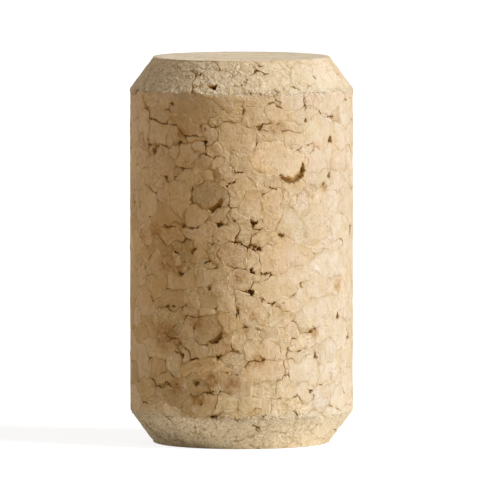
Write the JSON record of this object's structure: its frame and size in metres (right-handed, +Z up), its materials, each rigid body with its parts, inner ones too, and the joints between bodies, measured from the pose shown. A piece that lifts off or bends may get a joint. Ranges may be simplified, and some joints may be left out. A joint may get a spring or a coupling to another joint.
{
  "type": "cork stopper",
  "caption": "Round bottle stopper of bound cork granules, chamfered at both ends, pressed into a bottle's neck.",
  "frame": {"origin": "centre of the bottom end face", "axes": "+Z up along the stopper's axis, -Y towards the front, +X to the right seen from the front"},
  "size_m": [0.0254, 0.0254, 0.044],
  "materials": {
    "bound_cork": "matt sanded cork granules with open pits, not sealed or waxed"
  },
  "bodies": {
    "root": {"cork_stopper": "bound_cork"}
  },
  "joints": []
}
